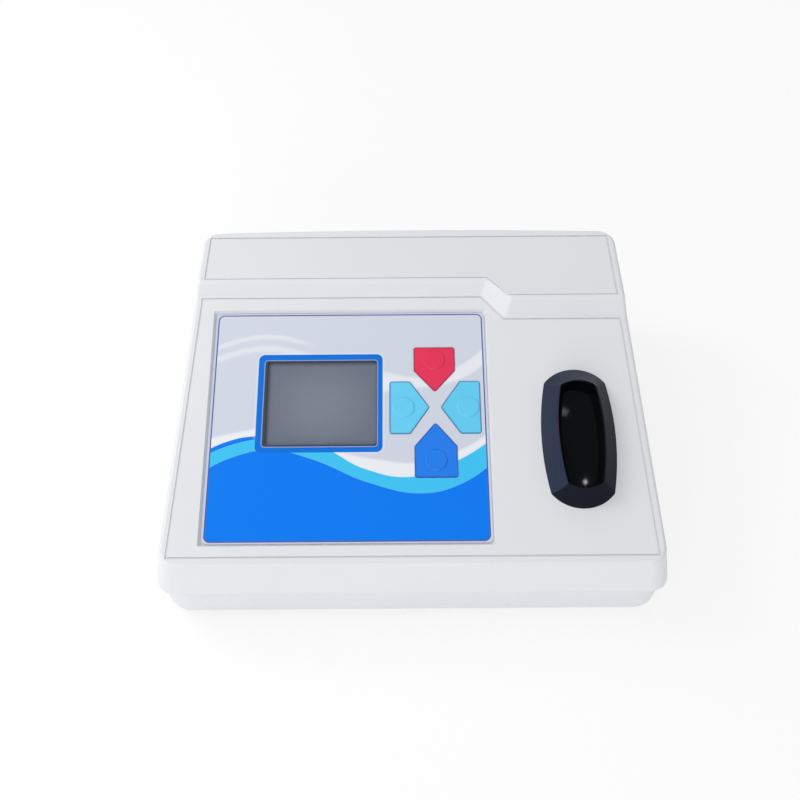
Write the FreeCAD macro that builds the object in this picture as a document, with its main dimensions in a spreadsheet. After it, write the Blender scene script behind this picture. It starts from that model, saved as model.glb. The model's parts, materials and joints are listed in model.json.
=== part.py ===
import FreeCAD, Part
import os
import re
import Sketcher

# Bench colorimeter: a two-part moulded housing with a membrane keypad, a display and a sample chamber.
# Millimetres. X runs to the right, Y to the back and Z up. The origin is at the centre of the footprint,
# on the surface that the rubber feet stand on. Pieces on the sloping deck use deck coordinates: x from the
# housing's centre plane, y up the slope from the deck's centre, and height at right angles to the deck.

SIZES = {
    # Housing
    "belt_half_front": 138.2,
    "belt_half_back": 133.5,
    "depth": 208,
    "rear_bow": 2.4,
    "foot_height": 3,
    "belt_height": 31,
    "top_height": 94,
    "side_draft": 11.3,
    "front_draft": 7.1,
    "rear_draft": 3,
    "base_draft": 1,
    "belt_step": 0.8,
    "wall": 3,
    "base_wall": 3.4,
    "floor_thickness": 2.5,
    "cover_corner": 10,
    "base_corner": 14,
    "rim_round": 2.2,
    "round_step": 0.4,
    "base_round": 4,
    "lip_height": 2.5,
    "lip_thickness": 1.4,
    "lip_root": 3,
    "fit_gap": 0.2,
    "tool_reach": 30,
    # Sloping deck
    "deck_slope": 10,
    "deck_centre_y": -21.5,
    "deck_drop": 22,
    "deck_back_left": 78.8,
    "deck_back_right": 64.3,
    "jog_x": 41.4,
    "jog_angle": 48.8,
    "band_angle": 52,
    "band_foot_round": 1.2,
    "groove_margin": 3.7,
    "groove_width": 1,
    "groove_depth": 0.7,
    "groove_ledge": 0.6,
    # Overlay and its pocket
    "overlay_x": -34.2,
    "overlay_width": 153,
    "overlay_length": 136.5,
    "overlay_thickness": 0.8,
    "overlay_corner": 2.5,
    "pocket_gap": 0.4,
    "pocket_wall_run": 1.2,
    "pocket_depth": 2.2,
    "pocket_floor": 2.3,
    "tray_margin": 4,
    # Display
    "display_x": -49.4,
    "display_y": 12.7,
    "view_width": 61.3,
    "view_length": 50.7,
    "view_corner": 2,
    "glass_width": 65,
    "glass_length": 55,
    "glass_thickness": 2.4,
    "window_margin": 2.5,
    "window_thickness": 1,
    "piece_gap": 0.1,
    "bezel_wall": 4.3,
    "display_board_width": 80,
    "display_board_length": 82,
    # Keys
    "keypad_x": 13.4,
    "keypad_y": 9,
    "key_gap": 0.3,
    "key_thickness": 0.6,
    "key_travel": 0.4,
    "key_corner": 1.2,
    "dome_radius": 6.1,
    "dome_height": 0.5,
    "plunger_radius": 1.7,
    "plunger_length": 7.3,
    "plunger_hole_gap": 0.5,
    "switch_size": 6,
    "switch_height": 3.5,
    "switch_bore_depth": 2.5,
    "keypad_board_width": 52.4,
    "keypad_board_length": 92,
    "keypad_board_x": 17.6,
    "keypad_board_y": 10,
    "small_board_edge": 4.2,
    # Boards and fasteners
    "board_thickness": 1.6,
    "board_drop": 11.4,
    "small_boss_radius": 3,
    "small_screw_radius": 1.1,
    "small_head_radius": 2.1,
    "small_head_height": 1.6,
    "small_screw_length": 6,
    "screw_gap": 0.1,
    "main_board_x": -45,
    "main_board_y": -8,
    "main_board_width": 140,
    "main_board_length": 104,
    "main_board_height": 12,
    "screw_edge": 5,
    "main_boss_radius": 3.5,
    "case_screw_inset_x": 17.2,
    "case_screw_inset_y": 16,
    "case_post_radius": 5,
    "case_screw_radius": 1.5,
    "case_head_radius": 3,
    "case_head_height": 2.4,
    "case_head_seat": 12,
    "case_screw_length": 28,
    "counterbore_radius": 3.6,
    "foot_radius": 8,
    "foot_seat": 1,
    "foot_inset_x": 40.2,
    "foot_inset_y": 20,
    "vent_width": 2.5,
    "vent_length": 34,
    "vent_pitch": 7,
    "vent_count": 8,
    # Sample chamber and its cover
    "chamber_x": 91,
    "chamber_y": -31.2,
    "opening_width": 26,
    "opening_length": 56,
    "opening_corner": 5,
    "collar_wall": 3,
    "holder_width": 40,
    "holder_length": 72,
    "holder_bottom": 10,
    "holder_top": 48,
    "flange_width": 62,
    "flange_thickness": 4,
    "well_width": 24,
    "well_length": 52,
    "well_corner": 1,
    "beam_height": 30,
    "beam_radius": 4,
    "spring_radius": 34,
    "spring_thickness": 0.4,
    "spring_rise": 2.4,
    "spring_width": 12,
    "cover_deck_y": -9.9,
    "cover_half_width": 20.25,
    "cover_half_length": 40.7,
    "cover_side_bow": 3.3,
    "cover_end_bow": 8.4,
    "cover_height": 10.2,
    "cover_lean": 36,
    "lid_corner": 3,
    "ridge_width": 0.9,
    "dish_lean": 20,
    "cover_wall": 2.2,
    "skirt_drop": 3.5,
    "skirt_rise": 6,
    "skirt_gap": 0.8,
    "skirt_wall": 1.6,
    "seal_thickness": 0.8,
    "seal_gap": 0.4,
    # Lamp and detector
    "lamp_radius": 9,
    "lamp_bore": 6.2,
    "lamp_length": 16,
    "lamp_flange": 26,
    "lamp_flange_thickness": 3,
    "lens_radius": 6,
    "lens_edge": 1.6,
    "lens_bulge": 1,
    "filter_thickness": 2,
    "led_radius": 2.5,
    "led_length": 8.6,
    "led_rim_radius": 2.9,
    "led_rim": 1,
    "lamp_board_width": 22,
    "detector_width": 26,
    "detector_length": 6,
    "photodiode_radius": 4.1,
    "photodiode_length": 4,
    # Rear panel
    "panel_inset": 6,
    "panel_x": -65,
    "panel_width": 66,
    "panel_low": 8.5,
    "panel_high": 27.5,
    "panel_wall": 2.5,
    "switch_x": -80,
    "switch_z": 18,
    "rocker_frame_width": 21,
    "rocker_frame_height": 15,
    "rocker_frame_thickness": 2,
    "rocker_body_width": 18.6,
    "rocker_body_height": 12.8,
    "rocker_body_depth": 16,
    "rocker_well_width": 17,
    "rocker_well_height": 10.4,
    "rocker_well_depth": 6.5,
    "rocker_half_width": 7.2,
    "rocker_height": 9.8,
    "rocker_crest": 1.4,
    "rocker_hollow": 1.2,
    "rocker_taper": 0.8,
    "rocker_root": 1.7,
    "rocker_pivot_depth": 2.5,
    "rocker_pin_radius": 0.9,
    "rocker_pin_length": 11.6,
    "rocker_tilt": 8,
    "terminal_pitch": 8,
    "tab_width": 4.8,
    "tab_thickness": 0.8,
    "tab_length": 7,
    "inlet_x": -50,
    "inlet_z": 18,
    "inlet_flange_radius": 5.5,
    "inlet_flange_thickness": 1.5,
    "inlet_radius": 3.9,
    "inlet_length": 14,
    "inlet_bore": 2.8,
    "inlet_bore_depth": 9.5,
    "inlet_pin": 1,
    "nut_radius": 6,
    "nut_thickness": 2,
    "regulator_width": 10.2,
    "regulator_length": 4.5,
    "regulator_height": 9,
    "regulator_x": -8,
    "regulator_y": 42,
    "regulator_tab_thickness": 1.3,
    "regulator_tab_height": 15.5,
}

# Each key points at the middle of the keypad: how far its base, shoulder and tip lie from there, half its
# width and the place of its dome.
KEYS = {
    "up": (36.8, 22.4, 9.4, 11.4, 28.9),
    "down": (41, 23.2, 9.3, 11.5, 31.2),
    "left": (25, 13.9, 3.3, 15.6, 17.5),
    "right": (25, 13.9, 3.3, 15.6, 18.2),
}
for side, row in KEYS.items():
    SIZES.update((f"key_{side}_{word}", size)
                 for word, size in zip(("base", "shoulder", "tip", "half", "dome"), row))

# Components of the main board: width, length, height and place from the board's centre. A can's width is
# its diameter.
CHIPS = {
    "processor": (20, 20, 2.2, -8, 6),
    "converter": (10, 7, 2, 34, -18),
    "amplifier": (5, 6, 1.8, 46, 12),
    "memory": (5, 6, 1.8, -36, 18),
}
CANS = {
    "input_can": (10, 10, 14, -40, 36),
    "bulk_can": (10, 10, 14, -26, 36),
    "output_can": (8, 8, 11, -52, 16),
}
HEADERS = {
    "display_header": (28, 6, 8, -20, -42),
    "keypad_header": (16, 6, 8, 20, -42),
    "optics_header": (6, 14, 8, 62, -4),
    "power_header": (6, 12, 9, -62, 28),
}
for part, row in {**CHIPS, **CANS, **HEADERS}.items():
    SIZES.update((f"{part}_{word}", size)
                 for word, size in zip(("width", "length", "height", "x", "y"), row))

# Places that follow from the sizes
SIZES.update({
    "deck_centre_z": "=top_height - deck_drop",
    "foot_front_x": "=belt_half_front - foot_inset_x",
    "foot_front_y": "=foot_inset_y - depth / 2",
    "foot_back_x": "=belt_half_back - foot_inset_x",
    "foot_back_y": "=depth / 2 - rear_bow - foot_inset_y",
    "case_screw_front_x": "=belt_half_front - case_screw_inset_x",
    "case_screw_front_y": "=case_screw_inset_y - depth / 2",
    "case_screw_back_x": "=belt_half_back - case_screw_inset_x",
    "case_screw_back_y": "=depth / 2 - rear_bow - case_screw_inset_y",
})

doc = FreeCAD.newDocument("Colorimeter")
sheet = doc.addObject("Spreadsheet::Sheet", "Sizes")
for line, (alias, size) in enumerate(SIZES.items(), start=1):
    sheet.set(f"A{line}", alias)
    sheet.set(f"B{line}", str(size))
    sheet.setAlias(f"B{line}", alias)
doc.recompute()

ALIASES = re.compile(r"\b(" + "|".join(SIZES) + r")\b")
PARTS = {}


# Expressions and placing

def bound(text):
    """The text with each size's name turned into a reference to its cell."""
    return ALIASES.sub(r"Sizes.\1", str(text))


def bind(thing, prop, text):
    thing.setExpression(prop, bound(text))


def number(text):
    return float(sheet.evalExpression(bound(text)))


def place(thing, x="0", y="0", z="0", frame="level"):
    """Puts a piece at x, y, z of the level frame or of the sloping deck; "lying" turns its Z to +Y."""
    bind(thing, "Placement.Base.x", x)
    if frame == "deck":
        thing.Placement = FreeCAD.Placement(
            FreeCAD.Vector(), FreeCAD.Rotation(FreeCAD.Vector(1, 0, 0), number("deck_slope")))
        bind(thing, "Placement.Rotation.Angle", "deck_slope")
        bind(thing, "Placement.Base.y", f"deck_centre_y + ({y}) * cos(deck_slope) - ({z}) * sin(deck_slope)")
        bind(thing, "Placement.Base.z", f"deck_centre_z + ({y}) * sin(deck_slope) + ({z}) * cos(deck_slope)")
        return thing
    if frame == "lying":
        thing.Placement = FreeCAD.Placement(
            FreeCAD.Vector(), FreeCAD.Rotation(FreeCAD.Vector(1, 0, 0), -90))
    bind(thing, "Placement.Base.y", y)
    bind(thing, "Placement.Base.z", z)
    return thing


def node(name, thing):
    """Registers a finished piece under the name of its file."""
    thing.Label = name
    PARTS[name] = thing
    return thing


# Part primitives and booleans

def block(name, width, length, height, x="0", y="0", z="0", frame="level"):
    """A box centred on x, y with its underside at z."""
    box = doc.addObject("Part::Box", name)
    bind(box, "Length", width)
    bind(box, "Width", length)
    bind(box, "Height", height)
    return place(box, f"({x}) - ({width}) / 2", f"({y}) - ({length}) / 2", z, frame)


def rod(name, radius, height, x="0", y="0", z="0", frame="level"):
    cylinder = doc.addObject("Part::Cylinder", name)
    bind(cylinder, "Radius", radius)
    bind(cylinder, "Height", height)
    return place(cylinder, x, y, z, frame)


def hexagon(name, radius, height, x="0", y="0", z="0", frame="level"):
    """A six-sided prism whose corners lie on the radius."""
    prism = doc.addObject("Part::Prism", name)
    prism.Polygon = 6
    bind(prism, "Circumradius", radius)
    bind(prism, "Height", height)
    return place(prism, x, y, z, frame)


def fuse(name, *shapes):
    whole = doc.addObject("Part::MultiFuse", name)
    whole.Shapes = list(shapes)
    return whole


def cut(name, base, *tools):
    rest = doc.addObject("Part::Cut", name)
    rest.Base = base
    rest.Tool = tools[0] if len(tools) == 1 else fuse(name + "_tools", *tools)
    return rest


def common(name, first, second):
    overlap = doc.addObject("Part::Common", name)
    overlap.Base = first
    overlap.Tool = second
    return overlap


def group(name, shapes):
    """Separate solids that share one node."""
    several = doc.addObject("Part::Compound", name)
    several.Links = list(shapes)
    return several


# Sketches and body features

def new_body(name):
    return doc.addObject("PartDesign::Body", name)


def new_sketch(body, name, height="0"):
    sketch = body.newObject("Sketcher::SketchObject", name)
    support = next(item for item in body.Origin.OriginFeatures if item.Role == "XY_Plane")
    sketch.AttachmentSupport = [(support, "")]
    sketch.MapMode = "FlatFace"
    bind(sketch, "AttachmentOffset.Base.z", height)
    return sketch


def deck_sketch(body, name, height):
    """A sketch of a level body that lies parallel to the deck, at a height above it."""
    sketch = new_sketch(body, name)
    sketch.AttachmentOffset = FreeCAD.Placement(
        FreeCAD.Vector(), FreeCAD.Rotation(FreeCAD.Vector(1, 0, 0), number("deck_slope")))
    bind(sketch, "AttachmentOffset.Rotation.Angle", "deck_slope")
    bind(sketch, "AttachmentOffset.Base.y", f"deck_centre_y - ({height}) * sin(deck_slope)")
    bind(sketch, "AttachmentOffset.Base.z", f"deck_centre_z + ({height}) * cos(deck_slope)")
    return sketch


def hold(sketch, curve, point, x, y):
    for kind, text in (("DistanceX", x), ("DistanceY", y)):
        index = sketch.addConstraint(Sketcher.Constraint(kind, -1, 1, curve, point, number(text)))
        bind(sketch, f"Constraints[{index}]", text)


def outline(sketch, corners):
    """A closed outline of straight lines through the corners."""
    points = [FreeCAD.Vector(number(x), number(y), 0) for x, y in corners]
    first = sketch.GeometryCount
    for index, start in enumerate(points):
        sketch.addGeometry(Part.LineSegment(start, points[(index + 1) % len(points)]))
    for index in range(len(points)):
        following = first + (index + 1) % len(points)
        sketch.addConstraint(Sketcher.Constraint("Coincident", first + index, 2, following, 1))
    for index, (x, y) in enumerate(corners):
        hold(sketch, first + index, 1, x, y)


def bowed_outline(sketch, sides):
    """A closed outline, counterclockwise; each side is its first corner and how far it bows outwards."""
    spots = [FreeCAD.Vector(number(x), number(y), 0) for x, y, bow in sides]
    first = sketch.GeometryCount
    for index, (x, y, bow) in enumerate(sides):
        start = spots[index]
        end = spots[(index + 1) % len(spots)]
        if bow == "0":
            sketch.addGeometry(Part.LineSegment(start, end))
            continue
        along = end - start
        middle = (start + end) / 2 + FreeCAD.Vector(along.y, -along.x, 0).normalize() * number(bow)
        sketch.addGeometry(Part.Arc(start, middle, end))
    for index, (x, y, bow) in enumerate(sides):
        following = (index + 1) % len(sides)
        sketch.addConstraint(Sketcher.Constraint("Coincident", first + index, 2, first + following, 1))
        hold(sketch, first + index, 1, x, y)
        if bow != "0":
            far_x, far_y, far_bow = sides[following]
            half = f"(sqrt((({far_x}) - ({x})) ^ 2 + (({far_y}) - ({y})) ^ 2) / 2)"
            radius = f"({half} ^ 2 + ({bow}) ^ 2) / (2 * ({bow}))"
            arc = sketch.addConstraint(Sketcher.Constraint("Radius", first + index, number(radius)))
            bind(sketch, f"Constraints[{arc}]", radius)


def rectangle(sketch, width, length, x="0", y="0"):
    left, right = f"({x}) - ({width}) / 2", f"({x}) + ({width}) / 2"
    low, high = f"({y}) - ({length}) / 2", f"({y}) + ({length}) / 2"
    outline(sketch, [(left, low), (right, low), (right, high), (left, high)])


def circle(sketch, radius, x="0", y="0"):
    centre = FreeCAD.Vector(number(x), number(y), 0)
    curve = sketch.addGeometry(Part.Circle(centre, FreeCAD.Vector(0, 0, 1), number(radius)))
    hold(sketch, curve, 3, x, y)
    index = sketch.addConstraint(Sketcher.Constraint("Radius", curve, number(radius)))
    bind(sketch, f"Constraints[{index}]", radius)


def pad(body, sketch, name, length):
    feature = body.newObject("PartDesign::Pad", name)
    feature.Profile = sketch
    bind(feature, "Length", length)
    return feature


def pocket(body, sketch, name, length):
    feature = body.newObject("PartDesign::Pocket", name)
    feature.Profile = sketch
    bind(feature, "Length", length)
    return feature


def facing(face):
    """The direction that the middle of a face looks in."""
    u_low, u_high, v_low, v_high = face.ParameterRange
    return face.normalAt((u_low + u_high) / 2, (v_low + v_high) / 2)


def lean(body, name, angle, chosen, outwards=False):
    """Leans the walls whose facing is chosen, inwards or outwards as they rise from the lowest face."""
    doc.recompute()
    base = body.Tip
    faces = list(enumerate(base.Shape.Faces, start=1))
    draft = body.newObject("PartDesign::Draft", name)
    draft.Base = (base, [f"Face{index}" for index, face in faces if chosen(facing(face))])
    draft.NeutralPlane = (base, [f"Face{index}" for index, face in faces if facing(face).z < -0.9])
    draft.Reversed = outwards
    bind(draft, "Angle", angle)
    return draft


def looks_forward(direction):
    return direction.y < -0.7


def looks_back(direction):
    return direction.y > 0.7


def looks_sideways(direction):
    return abs(direction.x) > 0.7


def looks_level(direction):
    return abs(direction.z) < 0.3


def dress_edges(body, kind, name, chosen):
    doc.recompute()
    base = body.Tip
    shape = base.Shape
    names = [f"Edge{index}" for index, edge in enumerate(shape.Edges, start=1) if chosen(shape, edge)]
    feature = body.newObject(f"PartDesign::{kind}", name)
    feature.Base = (base, names)
    return feature


def round_edges(body, name, radius, chosen):
    """Rounds the edges of the body's shape for which chosen says true."""
    bind(dress_edges(body, "Fillet", name, chosen), "Radius", radius)


def bevel_edges(body, name, size, chosen):
    """Bevels the edges of the body's shape for which chosen says true."""
    bind(dress_edges(body, "Chamfer", name, chosen), "Size", size)


def upright(shape, edge):
    """True for edges that climb steeply, such as the corners of a leaning wall."""
    ends = [vertex.Point for vertex in edge.Vertexes]
    return len(ends) == 2 and abs(ends[1].z - ends[0].z) > 0.93 * (ends[1] - ends[0]).Length


def climbing(shape, edge):
    """True for edges that join two levels, however far they lean."""
    ends = [vertex.Point for vertex in edge.Vertexes]
    return len(ends) == 2 and abs(ends[1].z - ends[0].z) > 0.5 * edge.BoundBox.DiagonalLength


def slab(name, width, length, thickness, corner, x, y, z, frame):
    """A rectangular plate with rounded corners, centred on x, y with its underside at z."""
    body = new_body(name)
    sketch = new_sketch(body, name + "_outline")
    rectangle(sketch, width, length)
    pad(body, sketch, name + "_plate", thickness)
    round_edges(body, name + "_corners", corner, upright)
    return place(body, x, y, z, frame)


# Fasteners

def screw(name, make, shank, length, head, head_height, x, y, z, frame="level", up=True):
    """A screw whose head's seat is at z; the shank runs up or down from there."""
    shank_z = z if up else f"({z}) - ({length})"
    head_z = f"({z}) - ({head_height})" if up else z
    return fuse(name,
                make(name + "_shank", shank, length, x, y, shank_z, frame),
                make(name + "_head", head, head_height, x, y, head_z, frame))


def small_screw(name, length, x, y, z, frame="level", up=True):
    return screw(name, hexagon, "small_screw_radius", length, "small_head_radius", "small_head_height",
                 x, y, z, frame, up)


def small_pilot(name, x, y, z, frame="level"):
    """The six-sided hole that a small screw is driven into."""
    return hexagon(name, "small_screw_radius + screw_gap / 2", "small_screw_length", x, y, z, frame)


def corners_of(half_x, half_y, x="0", y="0"):
    """The four corners of a rectangular hole pattern."""
    return [(f"({x}) + {sx} * ({half_x})", f"({y}) + {sy} * ({half_y})") for sx in (-1, 1) for sy in (-1, 1)]


CASE_POSTS = [(f"{side} * case_screw_{end}_x", f"case_screw_{end}_y")
              for side in (-1, 1) for end in ("front", "back")]
FEET = {f"foot_{end}_{word}": (f"{side} * foot_{end}_x", f"foot_{end}_y")
        for side, word in ((-1, "left"), (1, "right")) for end in ("front", "back")}
DISPLAY_BOSSES = corners_of("display_board_width / 2 - small_board_edge",
                            "display_board_length / 2 - small_board_edge", "display_x", "display_y")
KEYPAD_BOSSES = corners_of("keypad_board_width / 2 - small_board_edge",
                           "keypad_board_length / 2 - small_board_edge", "keypad_board_x", "keypad_board_y")
MAIN_BOSSES = corners_of("main_board_width / 2 - screw_edge", "main_board_length / 2 - screw_edge",
                         "main_board_x", "main_board_y")
HOLDER_BOSSES = corners_of("flange_width / 2 - screw_edge", "holder_length / 2 - screw_edge",
                           "chamber_x", "chamber_y")

OVERLAY_BOTTOM = "-pocket_depth"
OVERLAY_TOP = f"({OVERLAY_BOTTOM} + overlay_thickness)"
WINDOW_BOTTOM = "(-pocket_depth - window_thickness)"
TRAY_BOTTOM = "(-pocket_depth - pocket_floor)"
BOARD_TOP = "-board_drop"
KEY_BOTTOM = f"({OVERLAY_BOTTOM} + key_travel + piece_gap)"


def key_point(side, outwards, across):
    """Keypad-centred coordinates turned to the key's side."""
    return {
        "up": (f"({across})", f"({outwards})"),
        "down": (f"-({across})", f"-({outwards})"),
        "left": (f"-({outwards})", f"({across})"),
        "right": (f"({outwards})", f"-({across})"),
    }[side]


def key_outline(sketch, side, grow="0"):
    """A five-cornered key, with its tip towards the middle, grown all round by the given gap."""
    key = f"key_{side}"
    slant = f"({key}_shoulder - {key}_tip)"
    edge = f"sqrt({key}_half ^ 2 + {slant} ^ 2)"
    half = f"{key}_half + {grow}"
    base = f"{key}_base + {grow}"
    shoulder = f"{key}_shoulder + {grow} * ({slant} - {edge}) / {key}_half"
    tip = f"{key}_tip - {grow} * {edge} / {key}_half"
    turned = [key_point(side, *spot) for spot in (
        (tip, "0"), (shoulder, f"-({half})"), (base, f"-({half})"), (base, half), (shoulder, half))]
    outline(sketch, turned)


def dome_place(side):
    x, y = key_point(side, f"key_{side}_dome", "0")
    return f"keypad_x + {x}", f"keypad_y + {y}"


# Housing forms

def plan(body, name, level, front, side, rear):
    """The housing's plan at a level, drawn in from the belt by the given amounts."""
    sketch = new_sketch(body, name, level)
    low = f"-depth / 2 + {front}"
    high = f"depth / 2 - rear_bow - {rear}"
    bowed_outline(sketch, [
        (f"-(belt_half_front - {side})", low, "0"),
        (f"belt_half_front - {side}", low, "0"),
        (f"belt_half_back - {side}", high, "rear_bow"),
        (f"-(belt_half_back - {side})", high, "0"),
    ])
    return sketch


def even_form(name, low, high, inset, corner, draft=None):
    """A block of the housing's plan, drawn in evenly all round; its walls may lean out as they rise."""
    body = new_body(name)
    pad(body, plan(body, name + "_plan", low, inset, inset, inset), name + "_block", f"{high} - ({low})")
    if draft:
        lean(body, name + "_lean", draft, looks_level, outwards=True)
    round_edges(body, name + "_corners", corner, upright)
    return body


def deck_region(sketch, shift):
    """The deck's area with its stepped back edge, reaching past the housing on the other sides."""
    side = "(belt_half_front + tool_reach)"
    slide = f"({shift}) * tan(jog_angle / 2)"
    jog_run = "(deck_back_left - deck_back_right) / tan(jog_angle)"
    outline(sketch, [
        (f"-{side}", "-depth"),
        (side, "-depth"),
        (side, f"deck_back_right + {shift}"),
        (f"jog_x + {jog_run} + {slide}", f"deck_back_right + {shift}"),
        (f"jog_x + {slide}", f"deck_back_left + {shift}"),
        (f"-{side}", f"deck_back_left + {shift}"),
    ])


def cover_form(name, inset, low, corner):
    """The upper housing as a solid: leaning walls, a level back and the sloping deck cut down before it."""
    body = new_body(name)
    rise = f"({low} - belt_height)"
    sketch = plan(body, name + "_plan", low, *(f"({inset} + {rise} * tan({draft}))"
                                               for draft in ("front_draft", "side_draft", "rear_draft")))
    pad(body, sketch, name + "_block", f"top_height - {inset} - ({low})")
    lean(body, name + "_front", "front_draft", looks_forward)
    lean(body, name + "_rear", "rear_draft", looks_back)
    lean(body, name + "_sides", "side_draft", looks_sideways)
    round_edges(body, name + "_corners", corner, upright)
    foot = deck_sketch(body, name + "_deck", f"-({inset})")
    deck_region(foot, f"{inset} * tan(band_angle / 2)")
    step = pocket(body, foot, name + "_step", "top_height")
    step.UseCustomVector = True
    bind(step, "Direction.x", "tan(jog_angle / 2) / tan(band_angle)")
    bind(step, "Direction.y", "cos(deck_slope) / tan(band_angle) - sin(deck_slope)")
    bind(step, "Direction.z", "sin(deck_slope) / tan(band_angle) + cos(deck_slope)")
    return body


def deck_point(point):
    """A point's place up the slope and its height above the deck."""
    deck = FreeCAD.Placement(
        FreeCAD.Vector(0, number("deck_centre_y"), number("deck_centre_z")),
        FreeCAD.Rotation(FreeCAD.Vector(1, 0, 0), number("deck_slope")))
    return deck.inverse().multVec(point)


def jog_edge(shape, edge):
    box = edge.BoundBox
    start = number("jog_x")
    end = number("jog_x + (deck_back_left - deck_back_right) / tan(jog_angle) + top_height / 10")
    return box.ZLength > 5 and start - 1 < box.XMin and box.XMax < end


def band_foot(shape, edge):
    low = number("deck_back_right - 3")
    spots = [deck_point(vertex.Point) for vertex in edge.Vertexes]
    return all(abs(spot.z) < 0.01 and spot.y > low for spot in spots)


def band_top(shape, edge):
    limit = number("deck_centre_y + (deck_back_left + 8) * cos(deck_slope)")
    spots = [vertex.Point for vertex in edge.Vertexes]
    return all(abs(spot.z - number("top_height")) < 0.01 and spot.y < limit for spot in spots)


def rim_edge(shape, edge):
    """True where a leaning wall meets the deck, the band or the level back."""
    if edge.BoundBox.ZMax < number("belt_height") + 5 or upright(shape, edge):
        return False
    slopes = sorted(abs(facing(face).z) for face in shape.ancestorsOfType(edge, Part.Face))
    return len(slopes) == 2 and slopes[0] < 0.35 < slopes[1]


def side_at(y, z):
    """Half the outer width of the leaning side walls at a place of the level frame."""
    along = f"((({y}) + depth / 2) / (depth - rear_bow))"
    return (f"(belt_half_front - (belt_half_front - belt_half_back) * {along}"
            f" - (({z}) - belt_height) * tan(side_draft))")


def deck_panel(sketch, margin):
    """The outline of the deck's flat panel, a margin inside the rim."""
    jog_run = "(deck_back_left - deck_back_right) / tan(jog_angle)"
    pull = f"({margin} - groove_margin + groove_ledge)"
    front = f"(groove_margin - (depth / 2 + deck_centre_y - {margin}) / cos(deck_slope))"

    def side(run):
        return side_at(f"deck_centre_y + ({run}) * cos(deck_slope)",
                       f"deck_centre_z + ({run}) * sin(deck_slope)")
    back_left = f"(deck_back_left - {pull})"
    back_right = f"(deck_back_right - {pull})"
    slide = f"{pull} * tan(jog_angle / 2)"
    outline(sketch, [
        (f"-({side(front)} - {margin})", front),
        (f"{side(front)} - {margin}", front),
        (f"{side(back_right)} - {margin}", back_right),
        (f"jog_x + {jog_run} - {slide}", back_right),
        (f"jog_x - {slide}", back_left),
        (f"-({side(back_left)} - {margin})", back_left),
    ])


def plateau_panel(sketch, margin):
    """The outline of the level back's flat panel, a margin inside the rim."""
    rise = f"((top_height - deck_centre_z - {{run}} * sin(deck_slope)) / tan(band_angle + deck_slope))"
    front = {}
    for word in ("left", "right"):
        run = f"deck_back_{word}"
        front[word] = f"(deck_centre_y + {run} * cos(deck_slope) + {rise.format(run=run)} + {margin} / 2)"
    back = f"(depth / 2 - rear_bow - (top_height - belt_height) * tan(rear_draft) - {margin})"
    step = f"({front['left']} - {front['right']})"
    jog_start = f"(jog_x + ({margin} + rim_round) * tan(jog_angle / 2))"
    outline(sketch, [
        (f"-({side_at(front['left'], 'top_height')} - {margin})", front["left"]),
        (jog_start, front["left"]),
        (f"{jog_start} + {step} / tan(jog_angle)", front["right"]),
        (f"{side_at(front['right'], 'top_height')} - {margin}", front["right"]),
        (f"{side_at(back, 'top_height')} - {margin}", back),
        (f"-({side_at(back, 'top_height')} - {margin})", back),
    ])


def groove(body, name, panel, sketch):
    panel(sketch, "groove_margin")
    panel(sketch, "(groove_margin + groove_width)")
    return pocket(body, sketch, name, "groove_depth")


# Top cover

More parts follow.
